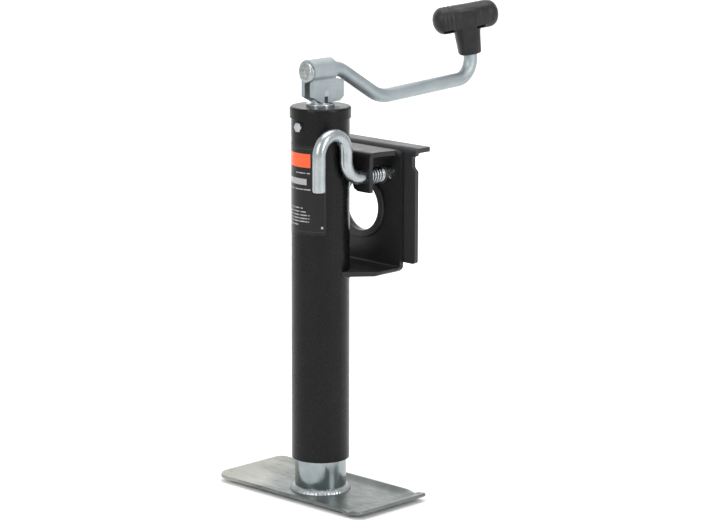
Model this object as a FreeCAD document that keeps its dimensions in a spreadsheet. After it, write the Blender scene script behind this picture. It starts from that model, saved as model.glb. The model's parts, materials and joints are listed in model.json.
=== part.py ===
"""Swivel trailer tongue jack, top wind, in millimetres.

The origin is on the tube's axis at the underside of the foot. +Z is up, +Y points from the tube
to the mount plate, and +X runs along the mount plate and the foot.
"""
import FreeCAD
import Part
import Sketcher
import math
import os

SIZES = [
    # tubes
    ("tube_radius", 28.575), ("tube_wall", 2.75), ("tube_bottom", 36.0),
    ("leg_radius", 25.4), ("leg_wall", 2.4), ("leg_top", 345.0),
    # cap and its parts
    ("cap_top", 387.3), ("cap_radius", 30.0), ("cap_sheet", 2.6), ("cap_skirt", 11.0), ("cap_round", 2.4),
    ("neck_radius", 8.9), ("neck_hole", 9.4), ("washer_radius", 14.0), ("washer_sheet", 2.6),
    # foot
    ("foot_length", 201.0), ("foot_width", 97.0), ("foot_rise", 9.0), ("foot_sheet", 3.4),
    ("foot_ramp", 28.0), ("foot_flare", 10.0), ("foot_corner_round", 13.0), ("foot_corner", 5.0),
    ("foot_weld_leg", 4.8),
    # screw, nut and thrust bearing
    ("screw_radius", 9.525), ("screw_bottom", 62.0),
    ("nut_length", 20.0), ("bore_fit", 0.08),
    ("collar_bottom", 346.6), ("collar_height", 4.8), ("collar_radius", 19.0),
    ("race_gap", 4.8), ("race_sheet", 2.6), ("ball_radius", 2.38), ("ball_circle", 15.5), ("ball_count", 16),
    ("race_inner", 10.4), ("race_outer", 20.5),
    ("block_bottom", 361.5), ("block_height", 20.0), ("block_radius", 25.8),
    ("stop_bottom", 63.5), ("stop_height", 6.5), ("stop_radius", 18.0), ("cross_pin_radius", 2.0),
    ("retainer_height", 369.4), ("retainer_radius", 2.5), ("retainer_flats", 8.4), ("retainer_head", 3.4),
    # crank
    ("ear_gap", 7.2), ("ear_sheet", 4.4), ("tongue", 7.0), ("ear_low", 391.0), ("ear_high", 411.0),
    ("strap_back", -18.0), ("strap_end", 26.0), ("wrap_end", 13.0),
    ("crank_pin_height", 400.0), ("crank_pin_radius", 3.2), ("ear_notch", 4.6),
    ("bar_radius", 7.0), ("bar_start", -17.8), ("bar_high", 422.0), ("bar_knee", 24.0), ("knee_bend", 28.0),
    ("bar_low", 386.8), ("bar_dip", 82.7), ("dip_bend", 42.0), ("bar_end", 393.0), ("bar_corner", 220.4),
    ("corner_bend", 19.5), ("crank_weld_radius", 10.2), ("crank_weld_height", 4.0), ("crank_weld_drop", 1.2),
    ("bar_lean", 11.0),
    # grip
    ("grip_height", 454.8), ("grip_radius", 14.0), ("grip_length", 69.0),
    ("grip_turn", 54.0), ("stem_wide", 14.6), ("stem_narrow", 11.6), ("stem_length", 37.4),
    # swivel bracket
    ("sheet", 4.76), ("web_front", 56.0), ("web_half", 54.0), ("bracket_top", 343.0),
    ("bracket_low", 221.5), ("bracket_bend", 7.0), ("web_corner", 11.0),
    ("flange_near", 21.4), ("flange_half", 46.0), ("tab_near", 21.0), ("tab_inner", 23.0), ("tab_low", 304.0),
    ("tip_half", 34.0), ("tip_near", 7.0),
    ("axis_height", 282.0), ("hub_bore", 25.2), ("hub_outer", 28.4), ("hub_fit", 0.1), ("hub_lip", 32.5),
    ("hub_lip_sheet", 1.7),
    # mount plate
    ("plate_front", 61.1), ("plate_half", 69.0), ("plate_low", 231.0), ("plate_top", 345.3),
    ("plate_back", 82.0), ("plate_bend", 6.5), ("notch_low", 325.0), ("notch_high", 338.0),
    ("notch_deep", 4.2), ("index_offset", 37.0), ("index_radius", 6.7),
    # pull pin
    ("pin_radius", 6.35), ("pin_hole", 6.6), ("pin_nose", 60.8), ("pin_bend", 19.0), ("hook_bend", 18.5),
    ("pin_rise", -2.0), ("hook_top", 364.5), ("hook_end", 311.5),
    ("spring_mean", 7.45), ("spring_wire", 0.85), ("spring_pitch", 3.1), ("spring_end", 45.0),
    ("pin_washer_radius", 9.6), ("pin_washer_sheet", 1.4),
    ("cotter_back", 48.4), ("cotter_radius", 1.2), ("cotter_eye", 3.2),
    # label
    ("label_half_angle", 56.0), ("label_low", 264.5), ("label_high", 352.0), ("label_sheet", 0.2),
]

doc = FreeCAD.newDocument("TongueJack")
sheet = doc.addObject("Spreadsheet::Sheet", "Sheet")
for row, (alias, number) in enumerate(SIZES, start=1):
    sheet.set(f"A{row}", str(number))
    sheet.setAlias(f"A{row}", alias)
doc.recompute()

SUBPARTS = []


def size(alias):
    """The number that the sheet holds under this alias."""
    return float(sheet.get(alias))


def keep(thing, label):
    """Name a sub-part and list it for writing."""
    thing.Label = label
    SUBPARTS.append(thing)
    return thing


def new_body(label):
    return keep(doc.addObject("PartDesign::Body", label + "_body"), label)


def sketch_on(body, role, name, offset=None):
    """A sketch on one of the body's own origin planes, moved along its normal by an expression."""
    sketch = body.newObject("Sketcher::SketchObject", name)
    plane = [item for item in body.Origin.OriginFeatures if item.Role == role][0]
    sketch.AttachmentSupport = [(plane, "")]
    sketch.MapMode = "FlatFace"
    if offset:
        sketch.setExpression(".AttachmentOffset.Base.z", offset)
    return sketch


def hold(sketch, kind, line, point, expression):
    """Tie one coordinate of a point to the sheet."""
    if expression == "0":
        axis = -2 if kind == "DistanceX" else -1
        sketch.addConstraint(Sketcher.Constraint("PointOnObject", line, point, axis))
        return
    spot = sketch.getPoint(line, point)
    now = spot.x if kind == "DistanceX" else spot.y
    index = sketch.addConstraint(Sketcher.Constraint(kind, -1, 1, line, point, now))
    sketch.setExpression(f"Constraints[{index}]", expression)


def polygon(sketch, corners):
    """A closed chain of straight edges whose corners are pairs of expressions."""
    first = sketch.GeometryCount
    count = len(corners)
    ring = [0.4 + 2 * math.pi * step / count for step in range(count)]
    spots = [FreeCAD.Vector(math.cos(angle), math.sin(angle), 0) for angle in ring]
    for step in range(count):
        sketch.addGeometry(Part.LineSegment(spots[step], spots[(step + 1) % count]), False)
    for step in range(count):
        after = first + (step + 1) % count
        sketch.addConstraint(Sketcher.Constraint("Coincident", first + step, 2, after, 1))
    for step, (across, up) in enumerate(corners):
        hold(sketch, "DistanceX", first + step, 1, across)
        hold(sketch, "DistanceY", first + step, 1, up)


def rectangle(sketch, left, right, low, high):
    polygon(sketch, [(left, low), (right, low), (right, high), (left, high)])


def circle(sketch, across, up, radius):
    line = sketch.addGeometry(Part.Circle(FreeCAD.Vector(1.3, 0.7, 0), FreeCAD.Vector(0, 0, 1), 1), False)
    index = sketch.addConstraint(Sketcher.Constraint("Radius", line, 1.0))
    sketch.setExpression(f"Constraints[{index}]", radius)
    hold(sketch, "DistanceX", line, 3, across)
    hold(sketch, "DistanceY", line, 3, up)


def pad(body, sketch, length, both=False, back=False):
    feature = body.newObject("PartDesign::Pad", sketch.Name + "_pad")
    feature.Profile = sketch
    feature.setExpression("Length", length)
    if both:
        feature.SideType = "Symmetric"
    feature.Reversed = back
    doc.recompute()
    return feature


def pocket(body, sketch, length, both=False, back=False):
    """Cut the sketch out of the body, and make sure that the cut removes something."""
    before = body.Shape.Volume
    feature = body.newObject("PartDesign::Pocket", sketch.Name + "_cut")
    feature.Profile = sketch
    feature.setExpression("Length", length)
    if both:
        feature.SideType = "Symmetric"
    feature.Reversed = back
    doc.recompute()
    if body.Shape.isNull() or body.Shape.Volume >= before - 0.01:
        raise RuntimeError(sketch.Name + " cuts nothing")
    return feature


def turned(body, sketch, angle=360.0, name="turn"):
    """Revolve a sketch in the XZ plane about the body's Z axis."""
    feature = body.newObject("PartDesign::Revolution", sketch.Name + "_" + name)
    feature.Profile = sketch
    feature.ReferenceAxis = (sketch, ["V_Axis"])
    feature.Angle = angle
    doc.recompute()
    return feature


def edges_where(shape, test):
    return [f"Edge{index}" for index, edge in enumerate(shape.Edges, start=1) if test(edge)]


def middle(edge):
    return edge.valueAt((edge.FirstParameter + edge.LastParameter) / 2)


def runs_along(edge, axis):
    """Whether a straight edge is parallel to X, Y or Z."""
    if edge.Curve.TypeId != "Part::GeomLine":
        return False
    return abs(abs(getattr(edge.Curve.Direction, axis)) - 1) < 1e-6


def fillet(body, base, test, radius):
    names = edges_where(base.Shape, test)
    if not names:
        raise RuntimeError("no edge to round on " + body.Label)
    feature = body.newObject("PartDesign::Fillet", base.Name + "_round")
    feature.Base = (base, names)
    feature.setExpression("Radius", radius)
    doc.recompute()
    if "Invalid" in feature.State or "Error" in feature.State:
        raise RuntimeError("rounding failed on " + body.Label)
    return feature


def place(thing, across=0.0, along=0.0, up=0.0, axis=(0, 0, 1), angle=0.0):
    turn = FreeCAD.Rotation(FreeCAD.Vector(*axis), angle)
    thing.Placement = FreeCAD.Placement(FreeCAD.Vector(across, along, up), turn)
    doc.recompute()
    return thing


def ring(label, outer, inner, low, height):
    """A plain washer or tube round the Z axis."""
    body = new_body(label)
    sketch = sketch_on(body, "XY_Plane", label + "_ring", low)
    circle(sketch, "0", "0", outer)
    circle(sketch, "0", "0", inner)
    pad(body, sketch, height)
    return body


def cross_pin(label, radius, length, height):
    """A straight pin along X through the screw."""
    body = new_body(label)
    sketch = sketch_on(body, "YZ_Plane", label + "_section")
    circle(sketch, "0", height, radius)
    pad(body, sketch, length, both=True)
    return body


def bore_across(body, name, across, height, radius, length):
    """A hole along X through a body."""
    sketch = sketch_on(body, "YZ_Plane", name)
    circle(sketch, across, height, radius)
    pocket(body, sketch, length, both=True)


def route(sketch, points, bends):
    """An open path of straight runs joined by tangent arcs, through points in the sketch's plane.

    bends holds a radius for each inner point, with the expression that drives it.
    """
    spots = [FreeCAD.Vector(across, up, 0) for across, up in points]
    cuts = []
    arcs = []
    for index, (radius, expression) in enumerate(bends, start=1):
        corner = spots[index]
        before = (spots[index - 1] - corner).normalize()
        after = (spots[index + 1] - corner).normalize()
        half = before.getAngle(after) / 2
        reach = radius / math.tan(half)
        centre = corner + (before + after).normalize() * (radius / math.sin(half))
        start = corner + before * reach
        end = corner + after * reach
        bow = centre + (corner - centre).normalize() * radius
        arcs.append((Part.Arc(start, bow, end), radius, expression))
        cuts.append((start, end))
    run_start = spots[0]
    previous = None
    for index in range(len(bends) + 1):
        run_end = cuts[index][0] if index < len(bends) else spots[-1]
        line = sketch.addGeometry(Part.LineSegment(run_start, run_end), False)
        if previous is not None:
            join_ends(sketch, previous, run_start, line)
        if index < len(bends):
            arc, radius, expression = arcs[index]
            bend = sketch.addGeometry(arc, False)
            join_ends(sketch, bend, run_end, line)
            radius_index = sketch.addConstraint(Sketcher.Constraint("Radius", bend, radius))
            sketch.setExpression(f"Constraints[{radius_index}]", expression)
            run_start = cuts[index][1]
            previous = bend
    return sketch


def join_ends(sketch, arc, spot, line):
    """Make an arc tangent to a line where they share this spot."""
    arc_end = 1 if sketch.getPoint(arc, 1).distanceToPoint(spot) < 0.001 else 2
    line_end = 1 if sketch.getPoint(line, 1).distanceToPoint(spot) < 0.001 else 2
    sketch.addConstraint(Sketcher.Constraint("Tangent", arc, arc_end, line, line_end))


def bent_bar(label, plane_offset, points, bends, start, height, radius):
    """A round bar along a route in the YZ plane, whose first run lies along Y."""
    body = new_body(label)
    path = sketch_on(body, "YZ_Plane", label + "_route", plane_offset)
    route(path, points, bends)
    section = sketch_on(body, "XZ_Plane", label + "_section", start)
    circle(section, plane_offset or "0", height, radius)
    doc.recompute()
    pipe = body.newObject("PartDesign::AdditivePipe", label + "_pipe")
    pipe.Profile = section
    pipe.Spine = path
    doc.recompute()
    return body, pipe


def round_ends(body, base, radius):
    """Soften both ends of a bar."""
    flat = [face for face in base.Shape.Faces if face.Surface.TypeId == "Part::GeomPlane"]
    centres = [face.CenterOfMass for face in flat]

    def at_end(edge):
        return edge.Curve.TypeId == "Part::GeomCircle" and any(
            edge.Curve.Center.distanceToPoint(centre) < 0.01 for centre in centres)
    return fillet(body, base, at_end, radius)


def dish_block(label, low, reach, height):
    """A block whose underside is the foot's dish: long ramps at both ends and short flared sides."""
    body = doc.addObject("PartDesign::Body", label)
    outline = sketch_on(body, "XY_Plane", label + "_outline", low)
    rectangle(outline, f"-Sheet.foot_length / 2 - {reach}", f"Sheet.foot_length / 2 + {reach}",
              f"-Sheet.foot_width / 2 - {reach}", f"Sheet.foot_width / 2 + {reach}")
    block = pad(body, outline, height)
    rounder = fillet(body, block, lambda edge: runs_along(edge, "z") and middle(edge).x < 0,
                     "Sheet.foot_corner_round")
    fillet(body, rounder, lambda edge: runs_along(edge, "z") and middle(edge).x > size("foot_length") / 2 - 1,
           "Sheet.foot_corner")
    ramps = sketch_on(body, "XZ_Plane", label + "_ramps")
    flares = sketch_on(body, "YZ_Plane", label + "_flares")
    for sketch, half, run in ((ramps, "Sheet.foot_length / 2", "Sheet.foot_ramp"),
                              (flares, "Sheet.foot_width / 2", "Sheet.foot_flare")):
        slope = f"(Sheet.foot_rise - Sheet.foot_sheet) / {run}"
        for side in ("", "-"):
            polygon(sketch, [(f"{side}({half} - {run})", low), (f"{side}({half} - {run})", f"{low} - 5"),
                             (f"{side}({half} + 30)", f"{low} - 5"),
                             (f"{side}({half} + 30)", f"{low} + {slope} * ({run} + 30)")])
    pocket(body, ramps, "400", both=True)
    pocket(body, flares, "400", both=True)
    return body


def make_foot():
    """The pressed foot: the dish's block less the same dish one sheet higher."""
    foot = keep(doc.addObject("Part::Cut", "foot_pressing"), "foot_plate")
    foot.Base = dish_block("foot_under", "0", "0", "Sheet.foot_rise")
    foot.Tool = dish_block("foot_hollow", "Sheet.foot_sheet", "15", "30")
    doc.recompute()


def make_leg():
    ring("inner_tube", "Sheet.leg_radius", "Sheet.leg_radius - Sheet.leg_wall", "Sheet.foot_sheet",
         "Sheet.leg_top - Sheet.foot_sheet")
    ring("drive_nut", "Sheet.leg_radius - Sheet.leg_wall", "Sheet.screw_radius + Sheet.bore_fit",
         "Sheet.leg_top - Sheet.nut_length", "Sheet.nut_length")
    make_foot()
    weld_ring("foot_weld", "Sheet.leg_radius", "Sheet.foot_weld_leg", "Sheet.foot_sheet", 1, 360.0)


def weld_ring(label, radius, leg, height, upward, angle, turn=0.0):
    """A fillet weld round the tube: a turned triangle whose legs lie on the tube and on the plate."""
    body = new_body(label)
    sketch = sketch_on(body, "XZ_Plane", label + "_section")
    sign = "+" if upward > 0 else "-"
    polygon(sketch, [(radius, height), (f"{radius} + {leg}", height),
                     (f"{radius} + 0.62 * {leg}", f"{height} {sign} 0.62 * {leg}"),
                     (radius, f"{height} {sign} {leg}")])
    turned(body, sketch, angle)
    place(body, angle=turn)
    return body


def make_casing():
    tube = new_body("outer_tube")
    sketch = sketch_on(tube, "XY_Plane", "outer_tube_ring", "Sheet.tube_bottom")
    circle(sketch, "0", "0", "Sheet.tube_radius")
    circle(sketch, "0", "0", "Sheet.tube_radius - Sheet.tube_wall")
    pad(tube, sketch, "Sheet.cap_top - Sheet.cap_sheet - Sheet.tube_bottom")
    hole = sketch_on(tube, "XZ_Plane", "outer_tube_screw_hole")
    circle(hole, "0", "Sheet.retainer_height", "Sheet.retainer_radius")
    pocket(tube, hole, "Sheet.tube_radius + 5", back=True)

    cap = new_body("top_cap")
    sketch = sketch_on(cap, "XZ_Plane", "top_cap_section")
    under = "Sheet.cap_top - Sheet.cap_sheet"
    polygon(sketch, [("Sheet.neck_hole", "Sheet.cap_top"), ("Sheet.cap_radius", "Sheet.cap_top"),
                     ("Sheet.cap_radius", "Sheet.cap_top - Sheet.cap_skirt"),
                     ("Sheet.tube_radius", "Sheet.cap_top - Sheet.cap_skirt"),
                     ("Sheet.tube_radius", under), ("Sheet.neck_hole", under)])
    shape = turned(cap, sketch)

    def outer_rim(edge):
        return abs(edge.BoundBox.ZMin - size("cap_top")) < 0.01 and edge.BoundBox.XMax > 20
    fillet(cap, shape, outer_rim, "Sheet.cap_round")

    block = ring("bearing_block", "Sheet.block_radius", "Sheet.neck_hole", "Sheet.block_bottom",
                 "Sheet.block_height")
    hole = sketch_on(block, "XZ_Plane", "bearing_block_thread")
    circle(hole, "0", "Sheet.retainer_height", "Sheet.retainer_radius")
    pocket(block, hole, "Sheet.tube_radius + 5", back=True)

    ring("race_fixed", "Sheet.race_outer", "Sheet.race_inner",
         "Sheet.block_bottom - Sheet.race_sheet", "Sheet.race_sheet")
    make_balls()
    make_retainer_screw()
    make_label()


def make_balls():
    """The balls of the thrust bearing, evenly spaced on their circle."""
    balls = []
    count = int(size("ball_count"))
    for step in range(count):
        angle = 2 * math.pi * step / count
        ball = doc.addObject("Part::Sphere", f"ball_{step}")
        ball.setExpression("Radius", "Sheet.ball_radius")
        height = size("block_bottom") - size("race_sheet") - size("race_gap") / 2
        across = size("ball_circle") * math.cos(angle)
        along = size("ball_circle") * math.sin(angle)
        ball.Placement.Base = FreeCAD.Vector(across, along, height)
        balls.append(ball)
    group = keep(doc.addObject("Part::Compound", "balls"), "bearing_balls")
    group.Links = balls


def make_retainer_screw():
    """A hex screw through the front of the tube into the bearing block; its own Z points out of the tube."""
    body = new_body("retainer_screw")
    head = sketch_on(body, "XY_Plane", "retainer_hex", "Sheet.tube_radius")
    corners = [(f"Sheet.retainer_flats / sqrt(3) * cos({60 * step})",
                f"Sheet.retainer_flats / sqrt(3) * sin({60 * step})") for step in range(6)]
    polygon(head, corners)
    top = pad(body, head, "Sheet.retainer_head")
    high = size("tube_radius") + size("retainer_head")
    fillet(body, top, lambda edge: edge.BoundBox.ZMin > high - 0.01, "0.5")
    shank = sketch_on(body, "XY_Plane", "retainer_shank", "Sheet.tube_radius")
    circle(shank, "0", "0", "Sheet.retainer_radius - 0.05")
    pad(body, shank, "11", back=True)
    place(body, up=size("retainer_height"), axis=(1, 0, 0), angle=90)


def make_label():
    """A thin decal wrapped round the front of the tube."""
    shells = []
    for name, extra in (("decal_outer", " + Sheet.label_sheet"), ("decal_inner", "")):
        shell = doc.addObject("Part::Cylinder", name)
        shell.setExpression("Radius", "Sheet.tube_radius" + extra)
        shell.setExpression("Height", "Sheet.label_high - Sheet.label_low")
        shell.setExpression("Angle", "2 * Sheet.label_half_angle")
        shells.append(shell)
    decal = keep(doc.addObject("Part::Cut", "decal"), "label_decal")
    decal.Base, decal.Tool = shells
    place(decal, up=size("label_low"), angle=-90 - size("label_half_angle"))


def make_bracket():
    """The pressed C-shaped bracket: web, two flanges cut to the tube, and the pin's tab."""
    body = doc.addObject("PartDesign::Body", "bracket_channel")
    back = "Sheet.web_front + Sheet.sheet"
    near = "Sheet.tab_near"
    profile = sketch_on(body, "YZ_Plane", "bracket_profile")
    polygon(profile, [(back, "Sheet.bracket_low"), (back, "Sheet.bracket_top"), (near, "Sheet.bracket_top"),
                      (near, "Sheet.bracket_top - Sheet.sheet"),
                      ("Sheet.web_front", "Sheet.bracket_top - Sheet.sheet"),
                      ("Sheet.web_front", "Sheet.bracket_low + Sheet.sheet"),
                      ("1", "Sheet.bracket_low + Sheet.sheet"), ("1", "Sheet.bracket_low")])
    pad(body, profile, "2 * Sheet.web_half", both=True)

    top_trim = sketch_on(body, "XY_Plane", "top_flange_trim", "Sheet.bracket_top + 1")
    low_trim = sketch_on(body, "XY_Plane", "low_flange_trim", "Sheet.bracket_low - 1")
    for side in ("", "-"):
        polygon(top_trim, [(f"{side}Sheet.flange_half", "Sheet.tab_near - 8"),
                           (f"{side}90", "Sheet.tab_near - 8"),
                           (f"{side}90", "Sheet.web_front - 3.6"),
                           (f"{side}(Sheet.web_half - 3)", "Sheet.web_front - 3.6"),
                           (f"{side}Sheet.flange_half", "Sheet.tab_near + 12")])
        polygon(low_trim, [(f"{side}90", "-20"), (f"{side}90", "Sheet.web_front - 3.6"),
                           (f"{side}(Sheet.web_half - 1)", "Sheet.web_front - 3.6"),
                           (f"{side}(Sheet.web_half - 1)", "31"), (f"{side}(Sheet.web_half - 2.6)", "26.4"),
                           (f"{side}(Sheet.web_half - 7)", "Sheet.flange_near + 0.8"),
                           (f"{side}Sheet.tip_half", "Sheet.tip_near"), (f"{side}26", "-1.5"),
                           (f"{side}26", "-20")])
    pocket(body, top_trim, "1.2 * Sheet.sheet + 1")
    pocket(body, low_trim, "1.2 * Sheet.sheet + 1", back=True)

    tab = sketch_on(body, "XZ_Plane", "tab_outline", "-Sheet.tab_near")
    polygon(tab, [("Sheet.tab_inner", "Sheet.bracket_top - Sheet.sheet"),
                  ("Sheet.flange_half", "Sheet.bracket_top - Sheet.sheet"),
                  ("Sheet.flange_half", "Sheet.tab_low"),
                  ("Sheet.tab_inner + 7", "Sheet.tab_low"), ("Sheet.tab_inner + 2", "Sheet.tab_low + 2.4"),
                  ("Sheet.tab_inner", "Sheet.tab_low + 7")])
    tabbed = pad(body, tab, "Sheet.sheet", back=True)

    def outer_bend(edge):
        spot = middle(edge)
        top = abs(spot.z - size("bracket_top")) < 0.01
        at_web = abs(spot.y - size("web_front") - size("sheet")) < 0.01
        at_tab = abs(spot.y - size("tab_near")) < 0.01 and top
        return runs_along(edge, "x") and (at_web or at_tab)
    bent = fillet(body, tabbed, outer_bend, "Sheet.bracket_bend - 1")

    def inner_bend(edge):
        spot = middle(edge)
        low = abs(spot.z - size("bracket_low") - size("sheet")) < 0.01
        high = abs(spot.z - size("bracket_top") + size("sheet")) < 0.01
        at_web = abs(spot.y - size("web_front")) < 0.01
        at_tab = abs(spot.y - size("tab_near") - size("sheet")) < 0.01
        return runs_along(edge, "x") and ((at_web and (low or high)) or (at_tab and high))
    fillet(body, bent, inner_bend, "Sheet.bracket_bend - Sheet.sheet")

    saddle = sketch_on(body, "XY_Plane", "tube_saddle", "Sheet.bracket_low - 5")
    circle(saddle, "0", "0", "Sheet.tube_radius")
    pocket(body, saddle, "Sheet.bracket_top - Sheet.bracket_low + 10", back=True)
    holes = sketch_on(body, "XZ_Plane", "bracket_holes")
    circle(holes, "0", "Sheet.axis_height", "Sheet.hub_outer + Sheet.hub_fit")
    circle(holes, "Sheet.index_offset", "Sheet.axis_height + Sheet.index_offset", "Sheet.pin_hole")
    pocket(body, holes, "100", back=False)

    outline = doc.addObject("PartDesign::Body", "bracket_outline")
    plan = sketch_on(outline, "XZ_Plane", "web_outline")
    rectangle(plan, "-Sheet.web_half", "Sheet.web_half", "Sheet.bracket_low", "Sheet.bracket_top")
    block = pad(outline, plan, "100", back=True)
    fillet(outline, block, lambda edge: runs_along(edge, "y"), "Sheet.web_corner / 2")
    bracket = keep(doc.addObject("Part::Common", "bracket_pressing"), "swivel_bracket")
    bracket.Base, bracket.Tool = body, outline
    doc.recompute()


def make_bracket_welds():
    """Beads along both saddles, on top of the top flange and under the low one."""
    reach = math.degrees(math.acos(size("tab_near") / size("tube_radius")))
    weld_ring("bracket_weld_upper", "Sheet.tube_radius", "3.4", "Sheet.bracket_top", 1,
              2 * reach - 4, 90 - reach + 2)
    low_reach = 84.0
    weld_ring("bracket_weld_lower", "Sheet.tube_radius", "3.4", "Sheet.bracket_low", -1,
              2 * low_reach, 90 - low_reach)


def make_frame():
    hub = new_body("swivel_hub")
    section = sketch_on(hub, "XZ_Plane", "hub_section")
    lip_back = "Sheet.web_front - 0.15"
    lip_front = "Sheet.web_front - 0.15 - Sheet.hub_lip_sheet"
    plate_back = "Sheet.plate_front + Sheet.sheet"
    polygon(section, [("Sheet.hub_bore", lip_front), ("Sheet.hub_lip", lip_front),
                      ("Sheet.hub_lip", lip_back),
                      ("Sheet.hub_outer", lip_back), ("Sheet.hub_outer", plate_back),
                      ("Sheet.hub_bore + 1.8", plate_back), ("Sheet.hub_bore", "Sheet.plate_front + 1")])
    whole = turned(hub, section)

    def lip_edges(edge):
        outer = edge.BoundBox.XMax > size("hub_lip") - 0.01
        mouth = abs(edge.BoundBox.XMax - size("hub_bore")) < 0.01
        front = edge.BoundBox.ZMax < size("web_front") - 0.15 - size("hub_lip_sheet") + 0.01
        return front and (outer or mouth)
    fillet(hub, whole, lip_edges, "0.8")
    place(hub, up=size("axis_height"), axis=(1, 0, 0), angle=-90)

    plate = new_body("mount_plate")
    profile = sketch_on(plate, "YZ_Plane", "plate_profile")
    inner = "Sheet.plate_front + Sheet.sheet"
    polygon(profile, [("Sheet.plate_front", "Sheet.plate_low"), ("Sheet.plate_front", "Sheet.plate_top"),
                      ("Sheet.plate_back", "Sheet.plate_top"),
                      ("Sheet.plate_back", "Sheet.plate_top - Sheet.sheet"),
                      (inner, "Sheet.plate_top - Sheet.sheet"), (inner, "Sheet.plate_low")])
    blank = pad(plate, profile, "2 * Sheet.plate_half", both=True)

    def bend(edge):
        spot = middle(edge)
        outer = abs(spot.y - size("plate_front")) < 0.01 and abs(spot.z - size("plate_top")) < 0.01
        return runs_along(edge, "x") and outer
    bent = fillet(plate, blank, bend, "Sheet.plate_bend")

    def inner_bend(edge):
        spot = middle(edge)
        return (runs_along(edge, "x") and abs(spot.y - size("plate_front") - size("sheet")) < 0.01
                and abs(spot.z - size("plate_top") + size("sheet")) < 0.01)
    fillet(plate, bent, inner_bend, "Sheet.plate_bend - Sheet.sheet")
    notches = sketch_on(plate, "XZ_Plane", "plate_notches")
    for side in ("", "-"):
        polygon(notches, [(f"{side}(Sheet.plate_half - Sheet.notch_deep)", "Sheet.notch_low + 1.5"),
                          (f"{side}(Sheet.plate_half - Sheet.notch_deep)", "Sheet.notch_high"),
                          (f"{side}(Sheet.plate_half + 5)", "Sheet.notch_high"),
                          (f"{side}(Sheet.plate_half + 5)", "Sheet.notch_low - 5"),
                          (f"{side}(Sheet.plate_half + 0.01)", "Sheet.notch_low - 2.6")])
    notched = pocket(plate, notches, "100")

    def notch_corner(edge):
        spot = middle(edge)
        inset = abs(abs(spot.x) - size("plate_half") + size("notch_deep")) < 0.01
        return runs_along(edge, "y") and (inset or spot.z < size("plate_low") + 0.01)
    fillet(plate, notched, notch_corner, "3")
    holes = sketch_on(plate, "XZ_Plane", "plate_holes")
    circle(holes, "0", "Sheet.axis_height", "Sheet.hub_outer")
    for side in ("", "-"):
        for rise in ("+", "-"):
            circle(holes, f"{side}Sheet.index_offset", f"Sheet.axis_height {rise} Sheet.index_offset",
                   "Sheet.index_radius")
    pocket(plate, holes, "100")


def make_screw():
    body = new_body("lead_screw")
    section = sketch_on(body, "XZ_Plane", "screw_section")
    shoulder = "Sheet.collar_bottom + Sheet.collar_height"
    polygon(section, [("0", "Sheet.screw_bottom"), ("Sheet.screw_radius - 1.5", "Sheet.screw_bottom"),
                      ("Sheet.screw_radius", "Sheet.screw_bottom + 1.5"), ("Sheet.screw_radius", shoulder),
                      ("Sheet.neck_radius", shoulder), ("Sheet.neck_radius", "Sheet.ear_high - 1.4"),
                      ("0", "Sheet.ear_high - 1.4")])
    turned(body, section)
    flats = sketch_on(body, "XZ_Plane", "tongue_flats")
    for side in ("", "-"):
        polygon(flats, [(f"{side}Sheet.tongue / 2", "Sheet.ear_low - 0.4"),
                        (f"{side}40", "Sheet.ear_low - 0.4"),
                        (f"{side}40", "Sheet.ear_high + 5"),
                        (f"{side}Sheet.tongue / 2", "Sheet.ear_high + 5")])
    pocket(body, flats, "80", both=True)
    middle_of_collar = "Sheet.collar_bottom + Sheet.collar_height / 2"
    middle_of_stop = "Sheet.stop_bottom + Sheet.stop_height / 2"
    bore_across(body, "crank_pin_hole", "0", "Sheet.crank_pin_height", "Sheet.crank_pin_radius", "80")
    bore_across(body, "collar_pin_hole", "0", middle_of_collar, "Sheet.cross_pin_radius", "80")
    bore_across(body, "stop_pin_hole", "0", middle_of_stop, "Sheet.cross_pin_radius", "80")

    collar = ring("thrust_collar", "Sheet.collar_radius", "Sheet.screw_radius", "Sheet.collar_bottom",
                  "Sheet.collar_height")
    bore_across(collar, "collar_hole", "0", middle_of_collar, "Sheet.cross_pin_radius", "80")
    cross_pin("collar_pin", "Sheet.cross_pin_radius", "2 * Sheet.collar_radius - 1", middle_of_collar)
    ring("race_turning", "Sheet.race_outer - 1", "Sheet.neck_radius + 0.1", shoulder,
         "Sheet.block_bottom - Sheet.race_sheet - Sheet.race_gap - Sheet.collar_bottom - Sheet.collar_height")
    stop = ring("end_stop", "Sheet.stop_radius", "Sheet.screw_radius",
                "Sheet.stop_bottom", "Sheet.stop_height")
    bore_across(stop, "stop_hole", "0", middle_of_stop, "Sheet.cross_pin_radius", "80")
    cross_pin("end_stop_pin", "Sheet.cross_pin_radius", "2 * Sheet.stop_radius - 1", middle_of_stop)
    washer = ring("cap_washer", "Sheet.washer_radius", "Sheet.neck_radius", "Sheet.cap_top + 0.1",
                  "Sheet.washer_sheet")
    high = size("cap_top") + 0.1 + size("washer_sheet")

    def washer_rim(edge):
        return edge.BoundBox.ZMin > high - 0.01 and edge.BoundBox.XMax > size("washer_radius") - 0.01
    fillet(washer, washer.Tip, washer_rim, "0.8")


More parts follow.
